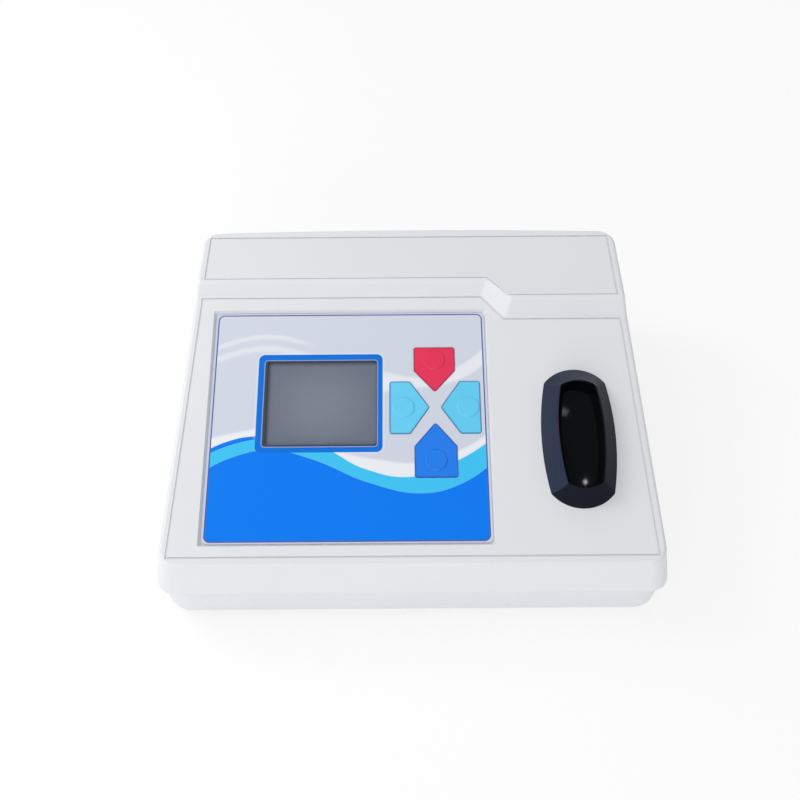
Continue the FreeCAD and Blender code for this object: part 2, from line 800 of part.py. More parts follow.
def top_cover():
    outer = cover_form("cover_outer", "0", "belt_height", "cover_corner")
    round_edges(outer, "cover_jog_round", "rim_round + 2 * round_step", jog_edge)
    round_edges(outer, "cover_foot_round", "band_foot_round", band_foot)
    round_edges(outer, "cover_band_round", "rim_round + round_step", band_top)
    round_edges(outer, "cover_rim_round", "rim_round", rim_edge)
    groove(outer, "deck_groove", deck_panel, deck_sketch(outer, "deck_groove_lines", "0"))
    groove(outer, "plateau_groove", plateau_panel, new_sketch(outer, "plateau_groove_lines", "top_height"))

    recess = new_body("overlay_recess")
    bottom = new_sketch(recess, "recess_outline")
    rectangle(bottom, "overlay_width + 2 * pocket_gap", "overlay_length + 2 * pocket_gap", "overlay_x")
    pad(recess, bottom, "recess_block", "2 * pocket_depth")
    lean(recess, "recess_walls", "atan(pocket_wall_run / pocket_depth)", looks_level, outwards=True)
    round_edges(recess, "recess_corners", "overlay_corner / 2", climbing)
    place(recess, "0", "0", "-pocket_depth", "deck")

    core = cover_form("cover_core", "wall", "belt_height - wall", "cover_corner - wall")
    tray = block("pocket_tray", "overlay_width + 2 * tray_margin", "overlay_length + 2 * tray_margin",
                 "pocket_floor + pocket_depth", "overlay_x", "0", TRAY_BOTTOM, "deck")
    posts = [rod(f"cover_post_{index}", "case_post_radius", "top_height", x, y, "belt_height")
             for index, (x, y) in enumerate(CASE_POSTS)]
    bosses = [hexagon(f"cover_boss_{index}", "small_boss_radius", "board_drop - pocket_depth",
                      x, y, BOARD_TOP, "deck")
              for index, (x, y) in enumerate(DISPLAY_BOSSES + KEYPAD_BOSSES)]
    hollow = cut("cover_hollow", core, tray, *posts, *bosses)
    shell = cut("cover_shell", outer, hollow)

    tools = [recess, slab("sample_opening", "opening_width", "opening_length", "top_height", "opening_corner",
                          "chamber_x", "chamber_y", "belt_height", "level")]
    tools.append(block("window_seat", "glass_width + 2 * window_margin", "glass_length + 2 * window_margin",
                       "window_thickness + 1", "display_x", "display_y", WINDOW_BOTTOM, "deck"))
    tools.append(block("glass_opening", "glass_width + 2 * fit_gap", "glass_length + 2 * fit_gap",
                       "pocket_floor", "display_x", "display_y", TRAY_BOTTOM, "deck"))
    for side in KEYS:
        tools.append(rod(f"plunger_hole_{side}", "plunger_radius + plunger_hole_gap",
                         "pocket_floor + 1", *dome_place(side), TRAY_BOTTOM, "deck"))
    for index, (x, y) in enumerate(CASE_POSTS):
        tools.append(rod(f"case_pilot_{index}", "case_screw_radius + screw_gap / 2",
                         "case_screw_length + case_head_seat - belt_height + 1", x, y, "belt_height"))
    for index, (x, y) in enumerate(DISPLAY_BOSSES + KEYPAD_BOSSES):
        tools.append(small_pilot(f"board_pilot_{index}", x, y, BOARD_TOP, "deck"))
    node("top_cover", cut("cover_finished", shell, *tools))
    return core


# Base shell

def base_shell():
    fall = "(belt_height - foot_height) * tan(base_draft)"
    outer = even_form("base_outer", "foot_height", "belt_height", f"(belt_step + {fall})", "base_corner",
                      "base_draft")
    round_edges(outer, "base_bottom_round", "base_round",
                lambda shape, edge: edge.BoundBox.ZMax < number("foot_height") + 0.01)
    inner = even_form("base_core", "foot_height + floor_thickness", "belt_height + wall",
                      f"(belt_step + base_wall + {fall})", "base_corner - base_wall", "base_draft")
    posts = [rod(f"base_post_{index}", "case_post_radius", "belt_height - foot_height",
                 x, y, "foot_height") for index, (x, y) in enumerate(CASE_POSTS)]
    posts += [hexagon(f"main_boss_{index}", "main_boss_radius", "main_board_height - foot_height",
                      x, y, "foot_height") for index, (x, y) in enumerate(MAIN_BOSSES)]
    posts += [hexagon(f"holder_boss_{index}", "main_boss_radius", "holder_bottom - foot_height",
                      x, y, "foot_height") for index, (x, y) in enumerate(HOLDER_BOSSES)]
    panel_wall = block("panel_wall_block", "panel_width + 2 * panel_wall", "tool_reach",
                       "belt_height - foot_height", "panel_x",
                       "depth / 2 - panel_inset - panel_wall + tool_reach / 2", "foot_height")
    shell = cut("base_tray", outer, cut("base_hollow", inner, panel_wall, *posts))

    lip_inset = "(wall + fit_gap + lip_height * tan(side_draft))"
    lip_outer = even_form("lip_outer", "belt_height - lip_root", "belt_height + lip_height",
                          lip_inset, "base_corner - base_wall")
    lip_inner = even_form("lip_inner", "belt_height - lip_root - 1", "belt_height + lip_height + 1",
                          f"({lip_inset} + lip_thickness)", "base_corner - base_wall - lip_thickness")
    lip = cut("lip_ring", lip_outer, lip_inner, *[
        rod(f"lip_relief_{index}", "case_post_radius + fit_gap", "lip_height + 1", x, y, "belt_height")
        for index, (x, y) in enumerate(CASE_POSTS)])
    whole = fuse("base_whole", shell, lip)

    tools = [block("panel_recess", "panel_width", "tool_reach", "panel_high - panel_low", "panel_x",
                   "depth / 2 - panel_inset + tool_reach / 2", "panel_low"),
             block("rocker_cutout", "rocker_body_width + 2 * fit_gap", "tool_reach",
                   "rocker_body_height + 2 * fit_gap", "switch_x", "depth / 2 - panel_inset",
                   "switch_z - rocker_body_height / 2 - fit_gap"),
             rod("inlet_cutout", "inlet_radius + screw_gap", "tool_reach", "inlet_x",
                 "depth / 2 - panel_inset - tool_reach / 2", "inlet_z", "lying")]
    for index, (x, y) in enumerate(CASE_POSTS):
        tools.append(rod(f"counterbore_{index}", "counterbore_radius", "case_head_seat - foot_height",
                         x, y, "foot_height"))
        tools.append(rod(f"case_hole_{index}", "case_screw_radius + screw_gap", "belt_height",
                         x, y, "foot_height"))
    for index, (x, y) in enumerate(FEET.values()):
        tools.append(rod(f"foot_recess_{index}", "foot_radius + screw_gap", "foot_seat",
                         x, y, "foot_height"))
    for index, (x, y) in enumerate(MAIN_BOSSES):
        tools.append(small_pilot(f"main_pilot_{index}", x, y, "main_board_height - small_screw_length"))
    for index, (x, y) in enumerate(HOLDER_BOSSES):
        tools.append(small_pilot(f"holder_pilot_{index}", x, y, "holder_bottom - small_screw_length"))
    for index in range(int(number("vent_count"))):
        tools.append(block(f"vent_{index}", "vent_width", "vent_length", "floor_thickness + 2",
                           f"main_board_x + ({index} - (vent_count - 1) / 2) * vent_pitch",
                           "main_board_y", "foot_height - 1"))
    node("base_shell", cut("base_finished", whole, *tools))


def feet_and_case_screws():
    for name, (x, y) in FEET.items():
        body = new_body(name + "_body")
        sketch = new_sketch(body, name + "_outline")
        circle(sketch, "foot_radius")
        pad(body, sketch, name + "_pad", "foot_height + foot_seat")
        bevel_edges(body, name + "_bevel", "foot_seat",
                    lambda shape, edge: edge.BoundBox.ZMax < 0.01)
        node(name, place(body, x, y, "0"))
    node("case_screws", group("case_screw_set", [
        screw(f"case_screw_{index}", rod, "case_screw_radius", "case_screw_length", "case_head_radius",
              "case_head_height", x, y, "case_head_seat")
        for index, (x, y) in enumerate(CASE_POSTS)]))


# Overlay and keys

def graphic_overlay():
    body = new_body("overlay_body")
    sketch = new_sketch(body, "overlay_outline")
    rectangle(sketch, "overlay_width", "overlay_length", "overlay_x")
    pad(body, sketch, "overlay_sheet", "overlay_thickness")
    round_edges(body, "overlay_corners", "overlay_corner", upright)
    view = new_sketch(body, "view_outline", "overlay_thickness")
    rectangle(view, "view_width", "view_length", "display_x", "display_y")
    pocket(body, view, "view_opening", "overlay_thickness")
    place(body, "0", "0", OVERLAY_BOTTOM, "deck")
    doc.recompute()

    def view_corner(shape, edge):
        box = edge.BoundBox
        return upright(shape, edge) and abs(box.XMin - number("display_x")) < number("view_width / 2 + 1")
    round_edges(body, "view_corners", "view_corner", view_corner)
    tools = []
    for side in KEYS:
        hole = new_body(f"key_hole_{side}")
        lines = new_sketch(hole, f"key_hole_{side}_outline")
        key_outline(lines, side, "key_gap")
        pad(hole, lines, f"key_hole_{side}_tool", "overlay_thickness + 1")
        round_edges(hole, f"key_hole_{side}_corners", "key_corner + key_gap", upright)
        tools.append(place(hole, "keypad_x", "keypad_y", OVERLAY_BOTTOM, "deck"))
    node("graphic_overlay", cut("overlay_finished", body, *tools))


def keys():
    for side in KEYS:
        body = new_body(f"key_body_{side}")
        lines = new_sketch(body, f"key_{side}_outline")
        key_outline(lines, side)
        pad(body, lines, f"key_{side}_plate", "key_thickness")
        round_edges(body, f"key_{side}_corners", "key_corner", upright)
        place(body, "keypad_x", "keypad_y", KEY_BOTTOM, "deck")
        x, y = key_point(side, f"key_{side}_dome", "0")
        rise = new_sketch(body, f"key_{side}_dome_outline", "key_thickness")
        circle(rise, "dome_radius", x, y)
        pad(body, rise, f"key_{side}_dome", "dome_height")
        doc.recompute()
        bevel_edges(body, f"key_{side}_dome_bevel", "dome_height * 0.9", dome_rim)
        node(f"key_{side}", body)
        node(f"plunger_{side}", rod(f"plunger_rod_{side}", "plunger_radius", "plunger_length",
                                    *dome_place(side), f"{KEY_BOTTOM} - plunger_length", "deck"))


def dome_rim(shape, edge):
    """The dome's outer top edge: a full circle above the key's plate."""
    top = number("key_thickness + dome_height")
    return edge.Closed and abs(edge.BoundBox.ZMax - top) < 0.01


def keypad():
    switches = []
    for side in KEYS:
        x, y = dome_place(side)
        switches.append(cut(
            f"tact_switch_{side}",
            block(f"tact_case_{side}", "switch_size", "switch_size", "switch_height", x, y, BOARD_TOP,
                  "deck"),
            rod(f"tact_bore_{side}", "plunger_radius + key_gap", "switch_bore_depth", x, y,
                f"{BOARD_TOP} + switch_height - switch_bore_depth", "deck")))
    node("tact_switches", group("tact_switch_set", switches))
    board_and_screws("keypad_board", "keypad_screws", KEYPAD_BOSSES, "keypad_board_width",
                     "keypad_board_length", "keypad_board_x", "keypad_board_y")


def board_and_screws(board, screws, bosses, width, length, x, y):
    """A circuit board hung under the deck on the cover's bosses, with a screw in each."""
    top = f"{BOARD_TOP} - board_thickness"
    plate = block(board + "_plate", width, length, "board_thickness", x, y, top, "deck")
    holes = [hexagon(f"{board}_hole_{index}", "small_screw_radius + screw_gap", "board_thickness + 2",
                     hole_x, hole_y, f"{top} - 1", "deck")
             for index, (hole_x, hole_y) in enumerate(bosses)]
    node(board, cut(board + "_drilled", plate, *holes))
    node(screws, group(screws + "_set", [
        small_screw(f"{screws}_{index}", "small_screw_length", hole_x, hole_y, top, "deck")
        for index, (hole_x, hole_y) in enumerate(bosses)]))


def display():
    spot = ("display_x", "display_y")
    node("lcd_window", slab("window_plate", "glass_width + 2 * window_margin - 2 * fit_gap",
                            "glass_length + 2 * window_margin - 2 * fit_gap", "window_thickness",
                            "view_corner", *spot, WINDOW_BOTTOM, "deck"))
    glass_top = f"{WINDOW_BOTTOM} - piece_gap"
    node("lcd_glass", block("glass_plate", "glass_width", "glass_length", "glass_thickness", *spot,
                            f"{glass_top} - glass_thickness", "deck"))
    node("lcd_backlight", block("backlight_plate", "glass_width", "glass_length",
                                f"{glass_top} - glass_thickness + board_drop", *spot, BOARD_TOP, "deck"))
    frame_height = f"{TRAY_BOTTOM} - piece_gap + board_drop"
    node("lcd_bezel", cut(
        "bezel_frame",
        slab("bezel_block", "glass_width + 2 * bezel_wall", "glass_length + 2 * bezel_wall", frame_height,
             "view_corner", *spot, BOARD_TOP, "deck"),
        block("bezel_opening", "glass_width + 2 * fit_gap", "glass_length + 2 * fit_gap",
              f"{frame_height} + 2", *spot, f"{BOARD_TOP} - 1", "deck")))
    board_and_screws("lcd_board", "lcd_screws", DISPLAY_BOSSES, "display_board_width",
                     "display_board_length", *spot)


# Sample cover

def bow_radius(half_chord, bow):
    return f"((({half_chord}) ^ 2 + ({bow}) ^ 2) / (2 * ({bow})))"


def cone(name, low_radius, high_radius, height, x, y, z, frame):
    taper = doc.addObject("Part::Cone", name)
    bind(taper, "Radius1", low_radius)
    bind(taper, "Radius2", high_radius)
    bind(taper, "Height", height)
    return place(taper, x, y, z, frame)


def barrel_form(name, low, high, inset, angle, towards=-1):
    """A long form whose sides and ends are bowed and all lean alike, drawn in from the lid's foot.

    Two wide cones share the stretch between the sides, and two narrow ones with a block between them
    give the ends. The walls lean inwards as they rise, or outwards where towards is 1.
    """
    side_bow = bow_radius("cover_half_length - cover_end_bow", "cover_side_bow")
    end_bow = bow_radius("cover_half_width - cover_side_bow", "cover_end_bow")
    height = f"({high} - ({low}))"

    def bowed(word, bow, x, y):
        radius = f"({bow} - ({inset}))"
        return cone(f"{name}_{word}", radius, f"{radius} + {towards} * {height} * tan({angle})", height,
                    f"chamber_x + {x}", f"cover_deck_y + {y}", low, "deck")
    across = f"(cover_half_width - {side_bow})"
    along = f"(cover_half_length - {end_bow})"
    middle = block(name + "_middle", "2 * cover_half_width", f"2 * {along}", height,
                   "chamber_x", "cover_deck_y", low, "deck")
    sides = common(name + "_sides", bowed("right", side_bow, across, "0"),
                   bowed("left", side_bow, f"-{across}", "0"))
    ends = fuse(name + "_ends", bowed("back", end_bow, "0", along), bowed("front", end_bow, "0", f"-{along}"),
                middle)
    return common(name, sides, ends)


def mitre(shape, edge):
    """True where two differently curved walls meet."""
    walls = shape.ancestorsOfType(edge, Part.Face)
    if not climbing(shape, edge) or len(walls) != 2:
        return False
    first, second = (wall.Surface.Center for wall in walls)
    return first.distanceToPoint(second) > 1


DISH_FLOOR = "(seal_thickness + seal_gap + cover_wall)"


def sample_cover():
    ridge = "(cover_height * tan(cover_lean) + ridge_width)"
    dish_inset = f"({ridge} + (cover_height - {DISH_FLOOR}) * tan(dish_lean))"
    slant_wall = "(cover_wall / cos(cover_lean))"
    outer = new_body("lid_rounded")
    outer.BaseFeature = barrel_form("lid_outer", "0", "cover_height", "0", "cover_lean")
    round_edges(outer, "lid_corners", "lid_corner", mitre)
    dish = barrel_form("lid_dish", DISH_FLOOR, "cover_height + 1", dish_inset, "dish_lean", 1)
    pan = barrel_form("lid_pan", f"{DISH_FLOOR} - cover_wall", "cover_height + 1",
                      f"({dish_inset} - cover_wall + cover_wall * tan(dish_lean))", "dish_lean", 1)
    under = barrel_form("lid_under", "0", "cover_height - cover_wall", slant_wall, "cover_lean")
    hollow = cut("lid_hollow", under, pan)
    pan_floor = common("lid_pan_floor", pan, block(
        "lid_pan_slice", "2 * cover_half_width", "2 * cover_half_length", "cover_wall",
        "chamber_x", "cover_deck_y", f"{DISH_FLOOR} - cover_wall", "deck"))
    skirt_length = "((opening_length - 2 * skirt_gap) / cos(deck_slope) - 2 * skirt_drop * sin(deck_slope))"
    skirt_width = "(opening_width - 2 * skirt_gap)"
    skirt = cut("lid_skirt",
                slab("skirt_block", skirt_width, skirt_length, "skirt_drop + skirt_rise",
                     "opening_corner - skirt_gap", "chamber_x", "cover_deck_y", "-skirt_drop", "deck"),
                slab("skirt_inside", f"{skirt_width} - 2 * skirt_wall", f"{skirt_length} - 2 * skirt_wall",
                     "skirt_drop + skirt_rise + 2", "opening_corner - skirt_gap - skirt_wall",
                     "chamber_x", "cover_deck_y", "-skirt_drop - 1", "deck"))
    node("sample_cover", cut("lid_finished", fuse("lid_whole", cut("lid_shell", outer, hollow),
                                                  pan_floor, skirt), dish))
    ring = barrel_form("seal_block", "0", "seal_thickness", f"{slant_wall} + seal_gap", "cover_lean")
    node("light_seal", cut("seal_ring", ring, slab(
        "seal_hole", "opening_width", "opening_length", "top_height", "opening_corner",
        "chamber_x", "chamber_y", "belt_height", "level")))


# Sample chamber

def chamber(core):
    tube = cut("collar_tube",
               slab("collar_block", "opening_width + 2 * collar_wall", "opening_length + 2 * collar_wall",
                    "top_height - holder_top", "opening_corner + collar_wall",
                    "chamber_x", "chamber_y", "holder_top", "level"),
               slab("collar_bore", "opening_width", "opening_length", "top_height", "opening_corner",
                    "chamber_x", "chamber_y", "belt_height", "level"))
    node("chamber_collar", common("collar_trimmed", tube, core))

    block_body = block("holder_block", "holder_width", "holder_length", "holder_top - holder_bottom",
                       "chamber_x", "chamber_y", "holder_bottom")
    flange = slab("holder_flange", "flange_width", "holder_length", "flange_thickness",
                  "main_boss_radius", "chamber_x", "chamber_y", "holder_bottom", "level")
    well = slab("cell_well", "well_width", "well_length", "holder_top", "well_corner",
                "chamber_x", "chamber_y", "holder_bottom + flange_thickness", "level")
    beam = rod("beam_bore", "beam_radius", "holder_length + 2", "chamber_x",
               "chamber_y - holder_length / 2 - 1", "beam_height", "lying")
    holes = [hexagon(f"holder_hole_{index}", "small_screw_radius + screw_gap", "flange_thickness + 2",
                     x, y, "holder_bottom - 1") for index, (x, y) in enumerate(HOLDER_BOSSES)]
    node("cuvette_holder", cut("holder_finished", fuse("holder_whole", block_body, flange),
                               well, beam, *holes))
    node("holder_screws", group("holder_screw_set", [
        small_screw(f"holder_screw_{index}", "small_screw_length + flange_thickness - 1", x, y,
                    "holder_bottom + flange_thickness", up=False)
        for index, (x, y) in enumerate(HOLDER_BOSSES)]))
    wall_x = "chamber_x - well_width / 2 + piece_gap"
    axis_x = f"{wall_x} + spring_rise - spring_radius"
    bow = cut("spring_bow",
              rod("spring_outer", "spring_radius", "spring_width", axis_x,
                  "chamber_y - spring_width / 2", "beam_height", "lying"),
              rod("spring_inner", "spring_radius - spring_thickness", "spring_width + 2", axis_x,
                  "chamber_y - spring_width / 2 - 1", "beam_height", "lying"))
    node("cell_spring", common("spring_leaf", bow, block(
        "spring_slice", "spring_rise", "spring_width", "2 * spring_radius",
        f"{wall_x} + spring_rise / 2", "chamber_y", "beam_height - spring_radius")))


def lamp():
    face = "(chamber_y - holder_length / 2)"
    back = f"({face} - lamp_length)"
    spot = ("chamber_x",)
    barrel_tube = rod("lamp_tube", "lamp_radius", "lamp_length", *spot, back, "beam_height", "lying")
    flange = block("lamp_flange_plate", "lamp_flange", "lamp_flange_thickness", "lamp_flange",
                   *spot, f"{face} - lamp_flange_thickness / 2", "beam_height - lamp_flange / 2")
    bore = rod("lamp_bore_tool", "lamp_bore", "lamp_length + 2", *spot, f"{back} - 1", "beam_height",
               "lying")
    node("lamp_housing", cut("lamp_finished", fuse("lamp_whole", barrel_tube, flange), bore))
    node("colour_filter", rod("filter_disc", "lens_radius", "filter_thickness", *spot,
                              f"{face} - filter_thickness - piece_gap", "beam_height", "lying"))
    lens_front = f"({face} - filter_thickness - 2 * piece_gap)"
    lens_depth = "(lens_edge + lens_bulge)"
    curve = bow_radius("lens_radius", "lens_bulge")
    node("lamp_lens", common(
        "lens_whole",
        rod("lens_disc", "lens_radius", lens_depth, *spot, f"{lens_front} - {lens_depth}", "beam_height",
            "lying"),
        ball("lens_curve", curve, *spot, f"{lens_front} - {curve}", "beam_height")))
    node("lamp_board", block("lamp_board_plate", "lamp_board_width", "board_thickness",
                             "lamp_board_width", *spot, f"{back} - board_thickness / 2",
                             "beam_height - lamp_board_width / 2"))
    node("lamp_led", fuse(
        "led_whole",
        rod("led_rim_disc", "led_rim_radius", "led_rim", *spot, back, "beam_height", "lying"),
        rod("led_stem", "led_radius", "led_length - led_radius", *spot, back, "beam_height", "lying"),
        cone("led_tip", "led_radius", "led_radius / 2", "led_radius * 0.8", *spot,
             f"{back} + led_length - led_radius", "beam_height", "lying")))


def ball(name, radius, x, y, z):
    sphere = doc.addObject("Part::Sphere", name)
    bind(sphere, "Radius", radius)
    return place(sphere, x, y, z)


def detector():
    face = "(chamber_y + holder_length / 2)"
    case = block("detector_block", "detector_width", "detector_length", "detector_width", "chamber_x",
                 f"{face} + detector_length / 2", "beam_height - detector_width / 2")
    bore = rod("detector_bore", "photodiode_radius + fit_gap", "detector_length + 2", "chamber_x",
               f"{face} - 1", "beam_height", "lying")
    node("detector_housing", cut("detector_case", case, bore))
    node("photodiode", rod("photodiode_can", "photodiode_radius", "photodiode_length", "chamber_x",
                           f"{face} + detector_length - photodiode_length", "beam_height", "lying"))
    node("detector_board", block("detector_board_plate", "detector_width", "board_thickness",
                                 "detector_width", "chamber_x",
                                 f"{face} + detector_length + board_thickness / 2",
                                 "beam_height - detector_width / 2"))


# Main board

def main_board():
    bottom = "main_board_height"
    top = f"{bottom} + board_thickness"
    plate = block("main_plate", "main_board_width", "main_board_length", "board_thickness",
                  "main_board_x", "main_board_y", bottom)
    holes = [hexagon(f"main_hole_{index}", "small_screw_radius + screw_gap", "board_thickness + 2",
                     x, y, f"{bottom} - 1") for index, (x, y) in enumerate(MAIN_BOSSES)]
    node("main_board", cut("main_drilled", plate, *holes))
    node("main_board_screws", group("main_screw_set", [
        small_screw(f"main_screw_{index}", "small_screw_length", x, y, top, up=False)
        for index, (x, y) in enumerate(MAIN_BOSSES)]))

    def spot(part):
        return f"main_board_x + {part}_x", f"main_board_y + {part}_y", top

    def boxes(parts):
        return [block(f"{part}_block", f"{part}_width", f"{part}_length", f"{part}_height", *spot(part))
                for part in parts]
    node("processor_chips", group("chip_set", boxes(CHIPS)))
    node("capacitors", group("capacitor_set", [
        rod(f"{part}_rod", f"{part}_width / 2", f"{part}_height", *spot(part)) for part in CANS]))
    node("board_connectors", group("connector_set", boxes(HEADERS)))
    x, y, z = spot("regulator")
    node("voltage_regulator", fuse(
        "regulator_whole",
        block("regulator_case", "regulator_width", "regulator_length", "regulator_height", x, y, z),
        block("regulator_tab", "regulator_width", "regulator_tab_thickness", "regulator_tab_height", x,
              f"{y} + (regulator_length + regulator_tab_thickness) / 2", z)))


# Rear panel

def power_switch():
    face = "(depth / 2 - panel_inset)"
    frame = block("rocker_frame", "rocker_frame_width", "rocker_frame_thickness", "rocker_frame_height",
                  "switch_x", f"{face} + rocker_frame_thickness / 2",
                  "switch_z - rocker_frame_height / 2")
    case = block("rocker_case", "rocker_body_width", "rocker_body_depth", "rocker_body_height",
                 "switch_x", f"{face} - rocker_body_depth / 2", "switch_z - rocker_body_height / 2")
    front = f"({face} + rocker_frame_thickness)"
    well = block("rocker_well", "rocker_well_width", "rocker_well_depth", "rocker_well_height",
                 "switch_x", f"{front} - rocker_well_depth / 2", "switch_z - rocker_well_height / 2")
    pivot = f"({front} - rocker_pivot_depth)"
    bearing = rod("rocker_bearing", "rocker_pin_radius + screw_gap", "rocker_pin_length + 2 * screw_gap",
                  "switch_x", pivot, "switch_z - rocker_pin_length / 2 - screw_gap")
    node("switch_body", cut("switch_finished", fuse("switch_whole", frame, case), well, bearing))

    rocker = new_body("rocker_body")
    sketch = new_sketch(rocker, "rocker_profile", "-rocker_height / 2")
    crest = "(rocker_pivot_depth + rocker_crest)"
    outline(sketch, [
        ("-rocker_half_width + rocker_taper", "-rocker_root"),
        ("rocker_half_width - rocker_taper", "-rocker_root"),
        ("rocker_half_width", crest), ("0", f"{crest} - rocker_hollow"), ("-rocker_half_width", crest)])
    pad(rocker, sketch, "rocker_plate", "rocker_height")
    place(rocker, "switch_x", pivot, "switch_z")
    rocker.Placement = FreeCAD.Placement(
        FreeCAD.Vector(), FreeCAD.Rotation(FreeCAD.Vector(0, 0, -1), number("rocker_tilt")))
    bind(rocker, "Placement.Rotation.Angle", "rocker_tilt")
    node("switch_rocker", fuse("rocker_whole", rocker, rod(
        "rocker_pin", "rocker_pin_radius", "rocker_pin_length", "switch_x", pivot,
        "switch_z - rocker_pin_length / 2")))
    node("switch_terminals", group("terminal_set", [
        block(f"terminal_{index}", "tab_thickness", "tab_length", "tab_width",
              f"switch_x + {side} * terminal_pitch / 2", f"{face} - rocker_body_depth - tab_length / 2",
              "switch_z - tab_width / 2") for index, side in enumerate((-1, 1))]))


def power_inlet():
    face = "(depth / 2 - panel_inset)"
    spot = ("inlet_x",)
    mouth = f"({face} + inlet_flange_thickness)"
    barrel_rod = rod("inlet_barrel", "inlet_radius", "inlet_length", *spot, f"{face} - inlet_length",
                     "inlet_z", "lying")
    flange = rod("inlet_flange", "inlet_flange_radius", "inlet_flange_thickness", *spot, face,
                 "inlet_z", "lying")
    bore = rod("inlet_bore_tool", "inlet_bore", "inlet_bore_depth", *spot,
               f"{mouth} - inlet_bore_depth", "inlet_z", "lying")
    node("power_inlet", cut("inlet_finished", fuse("inlet_whole", barrel_rod, flange), bore))
    node("inlet_pin", rod("inlet_pin_rod", "inlet_pin", "inlet_bore_depth - 1", *spot,
                          f"{mouth} - inlet_bore_depth", "inlet_z", "lying"))
    nut_back = f"({face} - panel_wall - nut_thickness)"
    prism = hexagon("nut_prism", "nut_radius", "nut_thickness", *spot, nut_back, "inlet_z", "lying")
    node("inlet_nut", cut("nut_finished", prism, rod(
        "nut_bore", "inlet_radius + screw_gap / 2", "nut_thickness + 2", *spot, f"{nut_back} - 1",
        "inlet_z", "lying")))


def check_and_export():
    """Stops on any failed object, then writes each piece to its own file."""
    doc.recompute()
    for item in doc.Objects:
        if "Invalid" in item.State or "Error" in item.State:
            raise RuntimeError(f"{item.Name} failed: {item.State}")
    os.makedirs("parts", exist_ok=True)
    for name, thing in PARTS.items():
        shape = thing.Shape
        if shape.isNull() or not shape.isValid() or not shape.Solids:
            raise RuntimeError(f"{name} has no valid solid")
    for name, thing in PARTS.items():
        thing.Shape.exportStep(f"parts/{name}.step")


cover_core = top_cover()
base_shell()
feet_and_case_screws()
graphic_overlay()
keys()
keypad()
display()
sample_cover()
chamber(cover_core)
lamp()
detector()
main_board()
power_switch()
power_inlet()
check_and_export()
print(len(PARTS), "pieces")
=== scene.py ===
"""A bench colorimeter: finishes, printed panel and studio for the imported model.

Everything is in metres, in the model's own frame. Sizes that a drawing would give are written in
millimetres times MM. Deck coordinates run across the sloping deck (x), up the slope (run) and away from
the deck (rise).
"""

import json
import math

import bpy
from mathutils import Euler, Matrix, Vector


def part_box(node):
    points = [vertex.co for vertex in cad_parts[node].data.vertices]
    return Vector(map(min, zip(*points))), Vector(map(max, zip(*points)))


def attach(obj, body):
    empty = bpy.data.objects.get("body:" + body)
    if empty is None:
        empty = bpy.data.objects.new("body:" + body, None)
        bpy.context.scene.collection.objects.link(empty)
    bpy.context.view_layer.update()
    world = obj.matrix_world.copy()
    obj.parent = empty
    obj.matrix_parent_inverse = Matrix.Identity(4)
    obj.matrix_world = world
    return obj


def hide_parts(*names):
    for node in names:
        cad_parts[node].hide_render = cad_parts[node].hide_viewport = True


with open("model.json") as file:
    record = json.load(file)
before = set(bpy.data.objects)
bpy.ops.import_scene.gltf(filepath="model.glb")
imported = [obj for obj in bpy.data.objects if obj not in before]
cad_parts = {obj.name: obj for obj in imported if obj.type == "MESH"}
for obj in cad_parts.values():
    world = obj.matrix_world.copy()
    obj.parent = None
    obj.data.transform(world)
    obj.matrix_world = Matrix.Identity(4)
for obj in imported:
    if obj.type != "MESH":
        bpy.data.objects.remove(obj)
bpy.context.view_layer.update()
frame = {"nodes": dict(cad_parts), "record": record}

MM = 0.001
SLOPE = math.radians(10)
ALONG = Vector((0, math.cos(SLOPE), math.sin(SLOPE)))
AWAY = Vector((0, -math.sin(SLOPE), math.cos(SLOPE)))
DECK_CENTRE = Vector((0, -21.5 * MM, 72 * MM))
HOUSING = "housing"
SLOTS = {row["node"]: row["material_slot"] for row in frame["record"]["subparts"]}


def deck_spot(x, run):
    """A place in the model's frame from deck coordinates."""
    return DECK_CENTRE + Vector((x, 0, 0)) + ALONG * run


PANEL_CENTRE = deck_spot(-34.2 * MM, 0)
# The display's centre and half its size on the panel, and the squares of the half axes over which it
# darkens, in millimetres
DISPLAY = (-15.2, 12.7)
DISPLAY_HALF = (30.65, 25.35)
DISPLAY_FADE = (900, 620)
# Each key points at the keypad's middle: how far its base, shoulder and tip lie from there, and half its
# width, in millimetres
KEYPAD = (47.6, 9.0)
KEY_SHAPES = {"up": (36.8, 22.4, 9.4, 11.4), "down": (41, 23.2, 9.3, 11.5),
              "left": (25, 13.9, 3.3, 15.6), "right": (25, 13.9, 3.3, 15.6)}
# The sample cover: its centre on the deck, half its width and length, how far its sides and ends bow out,
# how far in from its outline the dish begins, how broad the ridge there is and how deep the dish's floor
# lies, in millimetres, and the share of its length that the dish keeps above the middle
LID_CENTRE = deck_spot(91.0 * MM, -9.9 * MM)
LID_HALF = (20.25, 40.7)
LID_BOW = (3.3, 8.4)
LID_RIM = 8.2
RIDGE = 0.9
DISH_DEPTH = 0.5
UPPER_SHARE = 0.9


# Shader writing

